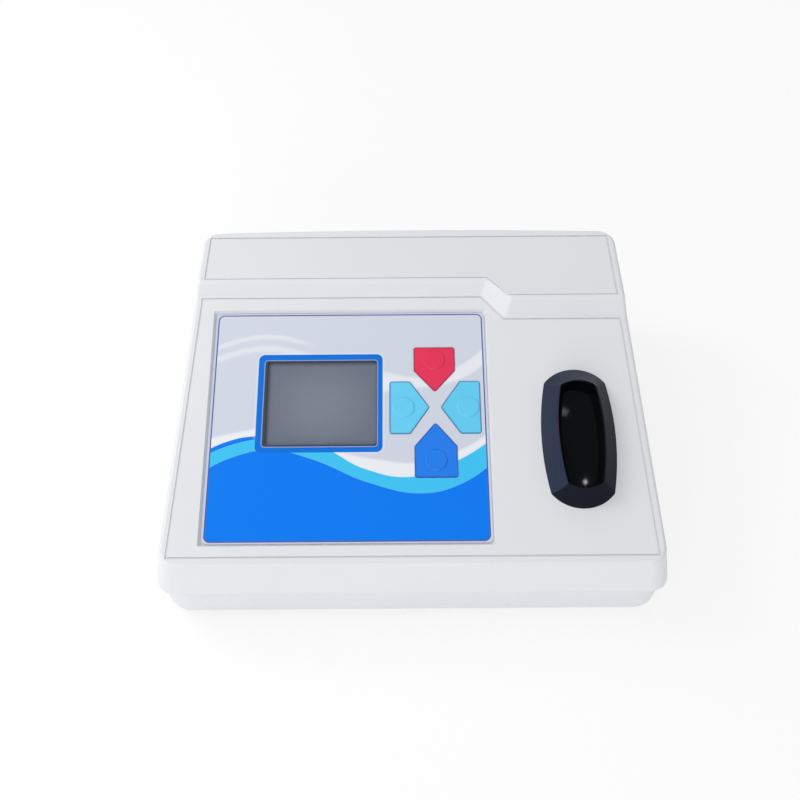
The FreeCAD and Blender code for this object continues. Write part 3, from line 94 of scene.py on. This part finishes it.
class Wire:
    """One output of a shader node. Arithmetic on it adds Math nodes."""

    def __init__(self, finish, socket):
        self.finish = finish
        self.socket = socket

    def math(self, operation, *others):
        return self.finish.node("ShaderNodeMath", {"operation": operation}, self, *others)

    def __add__(self, other):
        return self.math("ADD", other)

    __radd__ = __add__

    def __sub__(self, other):
        return self.math("SUBTRACT", other)

    def __rsub__(self, other):
        return self.finish.node("ShaderNodeMath", {"operation": "SUBTRACT"}, other, self)

    def __mul__(self, other):
        return self.math("MULTIPLY", other)

    __rmul__ = __mul__

    def __truediv__(self, other):
        return self.math("DIVIDE", other)

    def __neg__(self):
        return self * -1

    def __abs__(self):
        return self.math("ABSOLUTE")

    def least(self, other):
        return self.math("MINIMUM", other)

    def most(self, other):
        return self.math("MAXIMUM", other)

    def root(self):
        return self.math("SQRT")

    def below(self, edge, blur):
        """1 where the value is under the edge, 0 above it, and a ramp of the blur's width between."""
        return self.finish.node("ShaderNodeMapRange", {"interpolation_type": "SMOOTHSTEP"},
                                self, edge - blur / 2, edge + blur / 2, 1.0, 0.0)

    def above(self, edge, blur):
        return 1 - self.below(edge, blur)


class Finish:
    """A material that is written as expressions on its wires."""

    def __init__(self, name, owner=None):
        self.material = owner or bpy.data.materials.new(name)
        self.material.use_nodes = True
        self.tree = self.material.node_tree
        self.tree.nodes.clear()

    def node(self, kind, settings, *values, output=0, sockets=None):
        """Any node: its settings first, then the values or wires of its sockets."""
        made = self.tree.nodes.new(kind)
        for key, value in settings.items():
            if key == "curve":
                for x, y in value[1:-1]:
                    made.mapping.curves[0].points.new(x, y)
                made.mapping.curves[0].points[0].location = value[0]
                made.mapping.curves[0].points[-1].location = value[-1]
                made.mapping.update()
            else:
                setattr(made, key, value)
        for place, value in [*enumerate(values), *(sockets or {}).items()]:
            if isinstance(value, Wire):
                self.tree.links.new(value.socket, made.inputs[place])
            elif value is not None:
                made.inputs[place].default_value = value
        return None if output is None else Wire(self, made.outputs[output])

    def position(self):
        """The three Object coordinates."""
        spot = self.node("ShaderNodeTexCoord", {}, output="Object")
        split = self.node("ShaderNodeSeparateXYZ", {}, spot)
        return [Wire(self, socket) for socket in split.socket.node.outputs]

    def noise(self, scale, detail=2.0, roughness=0.5):
        spot = self.node("ShaderNodeTexCoord", {}, output="Object")
        return self.node("ShaderNodeTexNoise", {}, sockets={
            "Vector": spot, "Scale": scale, "Detail": detail, "Roughness": roughness})

    def mix(self, first, second, share):
        """The first colour where the share is 0 and the second where it is 1."""
        return self.node("ShaderNodeMix", {"data_type": "RGBA"}, output=2,
                         sockets={0: share, 6: first, 7: second})

    def bump(self, height, distance, strength=1.0):
        return self.node("ShaderNodeBump", {}, sockets={
            "Strength": strength, "Distance": distance, "Height": height})

    def surface(self, colour, roughness, normal=None, **fixed):
        """Ends the material in a Principled shader."""
        sockets = {"Base Color": colour, "Roughness": roughness, "Normal": normal,
                   "Specular IOR Level": 0.35}
        sockets.update({name.replace("_", " "): value for name, value in fixed.items()})
        shader = self.node("ShaderNodeBsdfPrincipled", {}, sockets=sockets)
        self.node_output(shader)
        return self.material

    def node_output(self, shader, kind="ShaderNodeOutputMaterial"):
        self.node(kind, {}, sockets={"Surface": shader}, output=None)


def paint(red, green, blue):
    """A colour given in the numbers that a picture editor shows, 0 to 255, as scene-linear light."""
    def linear(level):
        level /= 255
        return level / 12.92 if level <= 0.04045 else ((level + 0.055) / 1.055) ** 2.4
    return (linear(red), linear(green), linear(blue), 1.0)


def dimmed(colour, share):
    """The colour with only a share of its light."""
    return tuple(level * share for level in colour[:3]) + (1.0,)


def deck_place(finish, centre):
    """How far a point lies to the right of the centre and up the slope from it, in millimetres."""
    x, y, z = finish.position()
    run = (y - centre.y) * math.cos(SLOPE) + (z - centre.z) * math.sin(SLOPE)
    return (x - centre.x) / MM, run / MM


# Finishes

def moulded(name, colour):
    """Glossy injection-moulded plastic: a faint mottle, uneven sheen and a very fine skin."""
    finish = Finish(name)
    mottle = finish.noise(18, 3)
    sheen = finish.noise(60, 2)
    skin = finish.noise(1400, 1)
    shade = finish.mix(colour, dimmed(colour, 0.965), mottle)
    return finish.surface(shade, 0.26 + sheen * 0.08, finish.bump(skin, 0.02 * MM, 0.35))


def soft_rubber():
    finish = Finish("foot rubber")
    grain = finish.noise(900, 3)
    shade = finish.mix(paint(34, 34, 36), paint(52, 52, 54), grain)
    return finish.surface(shade, 0.75 + grain * 0.15, finish.bump(grain, 0.1 * MM, 0.6))


def plated_steel(name, colour, roughness=0.32):
    finish = Finish(name)
    grain = finish.noise(700, 4)
    shade = finish.mix(colour, dimmed(colour, 0.8), grain)
    return finish.surface(shade, roughness + grain * 0.12, finish.bump(grain, 0.03 * MM, 0.5), Metallic=1.0)


def clear(name, colour, roughness, alpha):
    """A thin clear sheet that shows what lies under it."""
    finish = Finish(name)
    dust = finish.noise(240, 4)
    return finish.surface(colour, roughness + dust * 0.03, Alpha=alpha, IOR=1.49)


def display_glass():
    """A grey liquid-crystal cell, darker towards its edges, with painted shadow of the window's edges as
    dark borders at its left and top.
    """
    finish = Finish("display glass")
    across, run = deck_place(finish, PANEL_CENTRE)
    across = across - DISPLAY[0]
    run = run - DISPLAY[1]
    away = (across * across / DISPLAY_FADE[0] + run * run / DISPLAY_FADE[1]).least(1.0)
    tone = finish.noise(25, 2)
    shade = finish.mix(paint(112, 120, 133), paint(88, 98, 119), away * 0.8 + tone * 0.2)
    # Painted shadow: dark borders at the left and top where the window's edges shade the cell, and thin
    # dark lines at its right and bottom
    left = across.below(-DISPLAY_HALF[0] + 1.4, 1.0)
    top = run.above(DISPLAY_HALF[1] - 2.0, 2.0)
    rest = across.above(DISPLAY_HALF[0] - 0.7, 0.7).most(run.below(-DISPLAY_HALF[1] + 0.7, 0.7))
    shade = finish.mix(shade, paint(66, 72, 92), left.most(top).most(rest * 0.6) * 0.85)
    return finish.surface(shade, 0.22 + tone * 0.06)


def key_film(name, colour, edge_colour, side):
    """Embossed printed film: even colour with a dark printed edge, and a satin skin."""
    finish = Finish(name)
    across, run = deck_place(finish, PANEL_CENTRE)
    across = across - KEYPAD[0]
    run = run - KEYPAD[1]
    outwards, sideways = {"up": (run, across), "down": (-run, across),
                          "left": (-across, run), "right": (across, run)}[side]
    base, shoulder, tip, half = KEY_SHAPES[side]
    slant = math.hypot(half, shoulder - tip)
    to_slant = ((outwards - tip) * half - abs(sideways) * (shoulder - tip)) / slant
    inset = (base - outwards).least(half - abs(sideways)).least(to_slant)
    tone = finish.noise(90, 3)
    skin = finish.noise(1600, 1)
    shade = finish.mix(colour, dimmed(colour, 0.92), tone)
    shade = finish.mix(shade, edge_colour, inset.below(0.5, 0.3) * 0.75)
    return finish.surface(shade, 0.18 + tone * 0.08, finish.bump(skin, 0.01 * MM, 0.2),
                          Specular_IOR_Level=0.3)


LAVENDER = paint(203, 210, 223)
PALE = paint(212, 217, 229)
DEEP_BLUE = paint(0, 122, 240)
FRAME_BLUE = paint(8, 112, 216)
CYAN = paint(64, 194, 241)
WHITE = paint(236, 239, 244)
LINE = paint(84, 90, 162)
PALE_EDGE = paint(150, 160, 205)
DISPLAY_EDGE = paint(62, 70, 92)


def panel_print():
    """The printed film: pale ground, a band of waves, a frame round the display and a thin border line."""
    finish = Finish("panel print")
    across, run = deck_place(finish, PANEL_CENTRE)
    reach = 80.0

    def wave(points):
        """A smooth line through points of the panel, as its height over the run across."""
        scaled = [((px + reach) / (2 * reach), (py + reach) / (2 * reach)) for px, py in points]
        share = (across + reach) / (2 * reach)
        return finish.node("ShaderNodeFloatCurve", {"curve": scaled}, 1.0, share) * (2 * reach) - reach

    def box_distance(centre_x, centre_y, half_x, half_y, corner):
        """How far a point lies outside a rectangle with rounded corners."""
        past_x = abs(across - centre_x) - (half_x - corner)
        past_y = abs(run - centre_y) - (half_y - corner)
        out_x, out_y = past_x.most(0), past_y.most(0)
        return (out_x * out_x + out_y * out_y).root() + past_x.most(past_y).least(0) - corner

    tone = finish.noise(30, 2)
    ground = finish.mix(LAVENDER, PALE, (run + 68) / 260 + tone * 0.12)

    def band(base, colour, low, high, blur, strength=1.0):
        """The colour between two lines, over what is there."""
        share = (run - low).above(0.0, blur) * (run - high).below(0.0, blur) * strength
        return finish.mix(base, colour, share)

    blue_top = wave([(-80, -29), (-62, -19.4), (-42, -15.6), (-20, -21), (12, -35), (40, -40.9),
                     (60, -36), (80, -22)])
    cyan_top = wave([(-80, -20), (-62, -12), (-42, -9), (-14, -14.5), (8, -26.5), (34, -31.6),
                     (60, -22), (80, -8.5)])
    white_top = wave([(-80, -10), (-60, -5), (-40, -2.5), (-10, -15.5), (14, -21.2), (38, -23.4),
                      (60, -16.8), (80, -3.5)])
    thin_top = wave([(-80, -17.2), (-62, -9.2), (-50, -7.4), (-40, -7.0), (0, -40), (80, -40)])
    swoosh_low = wave([(-80, 14), (0, 17), (36, 20.8), (58, 24.5), (80, 39)])
    swoosh_high = wave([(-80, 14), (0, 30), (20, 30.4), (36, 27.4), (58, 32.5), (80, 50)])
    ribbon = wave([(-80, 44), (-60, 51.6), (-44, 53.2), (-26, 49.5), (0, 40), (80, 30)])
    shade = band(ground, WHITE, swoosh_low, swoosh_high, 3.0, 0.75 * across.above(10.0, 14.0))
    shade = band(shade, WHITE, ribbon - 1.4, ribbon + 1.6, 2.0, 0.5 * across.below(-24.0, 16.0))
    shade = band(shade, WHITE, ribbon - 9.4, ribbon - 5.6, 2.6, 0.5 * across.below(-20.0, 16.0))
    shade = band(shade, WHITE, cyan_top, white_top, 2.2, 0.9)
    shade = band(shade, CYAN, blue_top, cyan_top, 0.35)
    shade = finish.mix(shade, DEEP_BLUE, (run - thin_top).below(0.0, 0.35) *
                       (run - cyan_top).above(0.0, 0.35) * across.below(-30.0, 1.0))
    shade = finish.mix(shade, DEEP_BLUE, (run - blue_top).below(0.0, 0.35))

    frame_out = box_distance(-16.2, 12.4, 34.8, 29.6, 3.4)
    frame_in = box_distance(-15.9, 12.2, 31.9, 26.4, 2.0)
    glow = frame_out.below(0.9, 1.4) * (run - cyan_top).above(1.0, 2.0) * 0.35
    shade = finish.mix(shade, WHITE, glow)
    shade = finish.mix(shade, FRAME_BLUE, frame_out.below(0.0, 0.3))
    shade = finish.mix(shade, PALE_EDGE, frame_in.below(0.0, 0.3))
    shade = finish.mix(shade, DISPLAY_EDGE, frame_in.below(-0.5, 0.3))

    border = box_distance(0.0, 0.0, 75.0, 67.0, 3.0)
    shade = finish.mix(shade, LAVENDER, border.above(0.0, 0.3))
    shade = finish.mix(shade, LINE, border.above(-0.25, 0.25) * border.below(0.45, 0.25))
    skin = finish.noise(1500, 1)
    return finish.surface(shade, 0.3 + tone * 0.08, finish.bump(skin, 0.01 * MM, 0.3),
                          Specular_IOR_Level=0.12)


def lid_insets(across, run):
    """How far in from the sample cover's bowed sides and from its bowed ends a point lies."""
    side_bow = LID_BOW[0] / (LID_HALF[1] - LID_BOW[1]) ** 2
    end_bow = LID_BOW[1] / (LID_HALF[0] - LID_BOW[0]) ** 2
    return (LID_HALF[0] - abs(across) - run * run * side_bow,
            LID_HALF[1] - abs(run) - across * across * end_bow)


def black_gloss():
    """Polished blue-black plastic, with painted light making its left and upper bevels paler and painted
    shade making its dish near black.
    """
    finish = Finish("black gloss")
    across, run = deck_place(finish, LID_CENTRE)
    tone = finish.noise(35, 3)
    marks = finish.noise(420, 5, 0.7)
    from_side, from_end = lid_insets(across, run)
    on_side = (from_side - from_end).below(0.0, 0.8)
    left = across.below(0.0, 1.0)
    upper = run.above(0.0, 1.0)
    # Painted light: the left bevel and the bevel at the upper end are paler, standing for light falling
    # from the left and above
    painted_bevel_light = on_side * (0.1 + left * 0.9) + (1 - on_side) * (0.12 + upper * 0.75)
    drawn_side, drawn_end = lid_insets(across, run * (1 + upper * (1 / UPPER_SHARE - 1)))
    outside = drawn_side.least(drawn_end).below(LID_RIM, 0.3)
    navy = finish.mix(paint(20, 23, 33), paint(50, 57, 76), painted_bevel_light)
    # Painted shade: the dish inside the rim is darkened to near black
    shade = finish.mix(paint(5, 7, 11), navy, outside)
    shade = finish.mix(shade, paint(4, 5, 8), tone * 0.25)
    return finish.surface(shade, 0.025 + tone * 0.01 + marks * 0.01, finish.bump(marks, 0.01 * MM, 0.02),
                          Specular_IOR_Level=0.045)


def matt_black(name):
    finish = Finish(name)
    grain = finish.noise(1200, 2)
    shade = finish.mix(paint(28, 28, 30), paint(40, 40, 43), grain)
    return finish.surface(shade, 0.6 + grain * 0.15, finish.bump(grain, 0.05 * MM, 0.5))


def rocker_black():
    """Matt black plastic with a white bar and a white ring for on and off."""
    finish = Finish("rocker black")
    low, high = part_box("switch_rocker")
    x, _, z = finish.position()
    across = (x - (low.x + high.x) / 2) / MM
    up = (z - (low.z + high.z) / 2) / MM
    grain = finish.noise(1200, 2)
    shade = finish.mix(paint(26, 26, 28), paint(38, 38, 41), grain)
    mark_x, half_line, blur = 3.9, 0.22, 0.08
    bar = abs(across - mark_x).below(1.15, 0.1) * abs(up).below(half_line, blur)
    reach = ((across + mark_x) * (across + mark_x) + up * up).root()
    ring = abs(reach - 1.1).below(half_line, blur)
    shade = finish.mix(shade, paint(225, 225, 225), bar.most(ring))
    return finish.surface(shade, 0.4 + grain * 0.15, finish.bump(grain, 0.04 * MM, 0.4))


def circuit_board():
    """Green solder mask with tracks that show faintly under it."""
    finish = Finish("circuit board")
    x, y, _ = finish.position()
    lane_pitch = 2.2 * MM
    weave = finish.noise(900, 2)
    lanes = ((x + y * 0.35) / lane_pitch).math("FRACT")
    track = lanes.below(0.35, 0.08) * finish.noise(120, 0).above(0.5, 0.05)
    shade = finish.mix(paint(18, 96, 52), paint(52, 132, 78), track * 0.8 + weave * 0.2)
    return finish.surface(shade, 0.35 + weave * 0.1, finish.bump(track, 0.03 * MM, 0.4))


def tinted(name, colour, roughness):
    finish = Finish(name)
    tone = finish.noise(300, 3)
    shade = finish.mix(colour, dimmed(colour, 0.85), tone)
    return finish.surface(shade, roughness + tone * 0.08, finish.bump(tone, 0.02 * MM, 0.3))


def dress():
    """Gives every model node the finish of its material slot, and the keys and the rocker their own."""
    finishes = {
        "housing_grey": moulded("housing plastic", paint(226, 228, 232)),
        "base_grey": moulded("base plastic", paint(222, 224, 229)),
        "foot_rubber": soft_rubber(),
        "screw_steel": plated_steel("screw steel", paint(178, 178, 180)),
        "overlay_film": panel_print(),
        "plunger_plastic": tinted("plunger acetal", paint(228, 228, 222), 0.4),
        "switch_black": matt_black("switch black"),
        "board_green": circuit_board(),
        "window_clear": clear("window acrylic", paint(200, 208, 214), 0.04, 0.05),
        "display_glass": display_glass(),
        "backlight_white": tinted("diffuser white", paint(235, 236, 232), 0.5),
        "frame_steel": plated_steel("frame steel", paint(150, 152, 156)),
        "cover_black": black_gloss(),
        "seal_foam": matt_black("seal foam"),
        "chamber_black": matt_black("chamber black"),
        "spring_steel": plated_steel("spring steel", paint(196, 196, 190), 0.25),
        "filter_glass": clear("filter glass", paint(120, 190, 140), 0.05, 0.5),
        "lens_glass": clear("lens glass", paint(240, 244, 248), 0.03, 0.3),
        "led_clear": clear("lamp epoxy", paint(240, 240, 228), 0.1, 0.5),
        "chip_black": tinted("chip epoxy", paint(44, 44, 46), 0.55),
        "can_metal": plated_steel("bare can", paint(190, 192, 198), 0.3),
        "terminal_brass": plated_steel("terminal brass", paint(206, 176, 104), 0.3),
    }
    own = {
        "key_up": key_film("key film red", paint(232, 44, 86), paint(180, 28, 90), "up"),
        "key_down": key_film("key film blue", paint(14, 124, 238), paint(26, 84, 196), "down"),
        "key_left": key_film("key film cyan left", paint(102, 208, 246), paint(66, 128, 196), "left"),
        "key_right": key_film("key film cyan right", paint(98, 206, 244), paint(66, 128, 196), "right"),
        "switch_rocker": rocker_black(),
    }
    for name, thing in frame["nodes"].items():
        material = own.get(name) or finishes[SLOTS[name]]
        if not thing.material_slots:
            thing.data.materials.append(material)
        for slot in thing.material_slots:
            slot.material = material


# Pieces with softened edges, made from the model's own forms

SHARP = math.radians(30)
SAME_SPOT = 0.001 * MM
SAME_PLANE = math.radians(0.1)
SCREW_HEAD_BOTTOM = 9.6 * MM
CROSS_ARM = (3.6 * MM, 0.8 * MM, 2.6 * MM)


def deselect():
    bpy.ops.object.select_all(action="DESELECT")


def widen_upper_bevel(piece):
    """Draws the dish's upper end in, so that the bevel above it is as broad as it looks from in front."""
    for vertex in piece.data.vertices:
        spot = (vertex.co - LID_CENTRE) / MM
        run, rise = spot.dot(ALONG), spot.dot(AWAY)
        if run > 0 and rise > DISH_DEPTH:
            inset = min(lid_insets(spot.x, run))
            share = min(max(inset / (LID_RIM - RIDGE), 0.0), 1.0)
            vertex.co -= ALONG * (run * (1 - UPPER_SHARE) * share * MM)


def softened(name, node, body, width, segments=3, reshape=None):
    """A copy of a model node whose sharp edges are rounded, and which stands for that node."""
    source = frame["nodes"][node]
    piece = bpy.data.objects.new(name, source.data.copy())
    bpy.context.collection.objects.link(piece)
    deselect()
    piece.select_set(True)
    bpy.context.view_layer.objects.active = piece
    bpy.ops.object.mode_set(mode="EDIT")
    bpy.ops.mesh.select_all(action="SELECT")
    bpy.ops.mesh.remove_doubles(threshold=SAME_SPOT)
    bpy.ops.mesh.dissolve_limited(angle_limit=SAME_PLANE)
    bpy.ops.object.mode_set(mode="OBJECT")
    if reshape:
        reshape(piece)
    bpy.ops.mesh.customdata_custom_splitnormals_clear()
    bpy.ops.object.shade_smooth_by_angle(angle=SHARP)
    rounding = piece.modifiers.new("rounded edges", "BEVEL")
    rounding.limit_method = "ANGLE"
    rounding.angle_limit = SHARP
    rounding.width = width
    rounding.segments = segments
    rounding.harden_normals = True
    bpy.ops.object.modifier_apply(modifier=rounding.name)
    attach(piece, body)
    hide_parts(node)
    return piece


def soften():
    """Rounds the edges that a hand or an eye would find sharp."""
    softened("sample_cover_shell", "sample_cover", "sample_cover", 0.35 * MM, reshape=widen_upper_bevel)
    softened("rocker_cap", "switch_rocker", "rocker", 0.3 * MM)
    softened("switch_frame", "switch_body", HOUSING, 0.3 * MM)
    softened("socket_collar", "power_inlet", HOUSING, 0.3 * MM)
    for side in ("up", "down", "left", "right"):
        softened(f"key_{side}_film", f"key_{side}", f"key_{side}", 0.12 * MM, 2)
    for foot in ("front_left", "front_right", "back_left", "back_right"):
        softened(f"foot_{foot}_pad", f"foot_{foot}", HOUSING, 0.35 * MM)


def crossed_screws():
    """The case screws with rounded heads and a cross recess in each.

    The two arms of a recess reach different depths, so that none of their faces coincide.
    """
    piece = softened("case_screws_crossed", "case_screws", HOUSING, 0.45 * MM)
    spans = {}
    for vertex in piece.data.vertices:
        spans.setdefault((vertex.co.x > 0, vertex.co.y > 0), []).append(vertex.co)
    cutters = []
    for spots in spans.values():
        x = (min(spot.x for spot in spots) + max(spot.x for spot in spots)) / 2
        y = (min(spot.y for spot in spots) + max(spot.y for spot in spots)) / 2
        for turn in (0, 1):
            bpy.ops.mesh.primitive_cube_add(size=1)
            arm = bpy.context.object
            arm.data.transform(Matrix.Translation((x, y, SCREW_HEAD_BOTTOM + (0.2 - 0.05 * turn) * MM)) @
                               Matrix.Rotation(math.pi / 2 * turn, 4, "Z") @
                               Matrix.Diagonal((*CROSS_ARM, 1)))
            cutters.append(arm)
    for arm in cutters:
        bpy.context.view_layer.objects.active = piece
        cut = piece.modifiers.new("cross recess", "BOOLEAN")
        cut.operation = "DIFFERENCE"
        cut.solver = "EXACT"
        cut.object = arm
        bpy.ops.object.modifier_apply(modifier=cut.name)
        bpy.data.objects.remove(arm)


# Studio

WINDOW_SIDE = (-0.85, 0.15, 0.4)
WORLD_LEVELS = (0.42, 0.94)
FULL_WHITE = (1.0, 1.0, 1.0, 1.0)
FLOOR_SIZE = 60
FLOOR_DROP = 0.5 * MM
FLOOR_GLOW = 0.75
HOUSING_MIDDLE = (0, 0, 0.05)
DISH_MIDDLE = (0.09, -0.05, 0.05)
CAMERA_SPOT = (-6.0 * MM, -333.1 * MM, 555.3 * MM)
CAMERA_TILT = math.radians(33.99)
CAMERA_ROLL = math.radians(-0.4)
FOCAL_PIXELS = 1050
PICTURE_PIXELS = 800
SENSOR = 36


def seen_white(finish):
    """1 for the rays that look at the surround or see it in gloss or through glass, 0 for its light."""
    rays = finish.node("ShaderNodeLightPath", {})
    outputs = rays.socket.node.outputs
    camera, glossy, through = (Wire(finish, outputs[f"Is {kind} Ray"])
                               for kind in ("Camera", "Glossy", "Transmission"))
    return camera.most(glossy).most(through)


def studio():
    """A pale floor, a white surround that lights from the left, two soft lamps, and two tiny ones that
    the dish of the sample cover mirrors."""
    deselect()
    bpy.ops.mesh.primitive_plane_add(size=FLOOR_SIZE, location=(0, 0, -FLOOR_DROP))
    floor = bpy.context.object
    floor.name = "floor"
    finish = Finish("floor white")
    matt = finish.node("ShaderNodeBsdfDiffuse", {}, paint(252, 252, 252))
    glow = finish.node("ShaderNodeEmission", {}, FULL_WHITE, 1.0)
    blend = finish.node("ShaderNodeMixShader", {}, seen_white(finish) * FLOOR_GLOW, matt, glow)
    finish.node_output(blend)
    floor.data.materials.append(finish.material)

    world = bpy.data.worlds.new("surround")
    bpy.context.scene.world = world
    surround = Finish("surround", world)
    sight = surround.node("ShaderNodeTexCoord", {}, output="Generated")
    side = Vector(WINDOW_SIDE).normalized()
    towards = surround.node("ShaderNodeVectorMath", {"operation": "DOT_PRODUCT"}, sight, side,
                            output="Value")
    level = surround.node("ShaderNodeMapRange", {}, towards, -0.6, 1.0, *WORLD_LEVELS)
    light = surround.node("ShaderNodeBackground", {}, FULL_WHITE, level)
    white = surround.node("ShaderNodeBackground", {}, FULL_WHITE, 1.0)
    both = surround.node("ShaderNodeMixShader", {}, seen_white(surround), light, white)
    surround.node_output(both, "ShaderNodeOutputWorld")

    def lamp(name, spot, aim, size, power):
        data = bpy.data.lights.new(name, "AREA")
        data.size = size
        data.energy = power
        thing = bpy.data.objects.new(name, data)
        thing.location = spot
        thing.rotation_euler = (Vector(aim) - Vector(spot)).to_track_quat("-Z", "Y").to_euler()
        bpy.context.collection.objects.link(thing)

    lamp("lamp left", (-0.6, 0.2, 0.65), (-0.05, 0, 0.05), 0.35, 2)
    lamp("lamp front", (-0.15, -1.2, 0.5), HOUSING_MIDDLE, 0.9, 4.6)
    lamp("lamp spark", (0.245, 0.085, 0.93), DISH_MIDDLE, 0.003, 0.009)
    lamp("lamp pane", (0.221, 0.183, 0.93), DISH_MIDDLE, 0.009, 0.005)


def camera():
    """The photograph's viewpoint: above and in front of the deck, 34 degrees off straight down."""
    data = bpy.data.cameras.new("camera")
    data.sensor_width = SENSOR
    data.lens = SENSOR * FOCAL_PIXELS / PICTURE_PIXELS
    thing = bpy.data.objects.new("camera", data)
    bpy.context.collection.objects.link(thing)
    tilt = Euler((CAMERA_TILT, 0, 0)).to_matrix()
    roll = Matrix.Rotation(CAMERA_ROLL, 3, "Z")
    thing.rotation_euler = (tilt @ roll).to_euler()
    thing.location = CAMERA_SPOT
    bpy.context.scene.camera = thing


dress()
soften()
crossed_screws()
studio()
camera()
bpy.context.scene.view_settings.view_transform = "Standard"
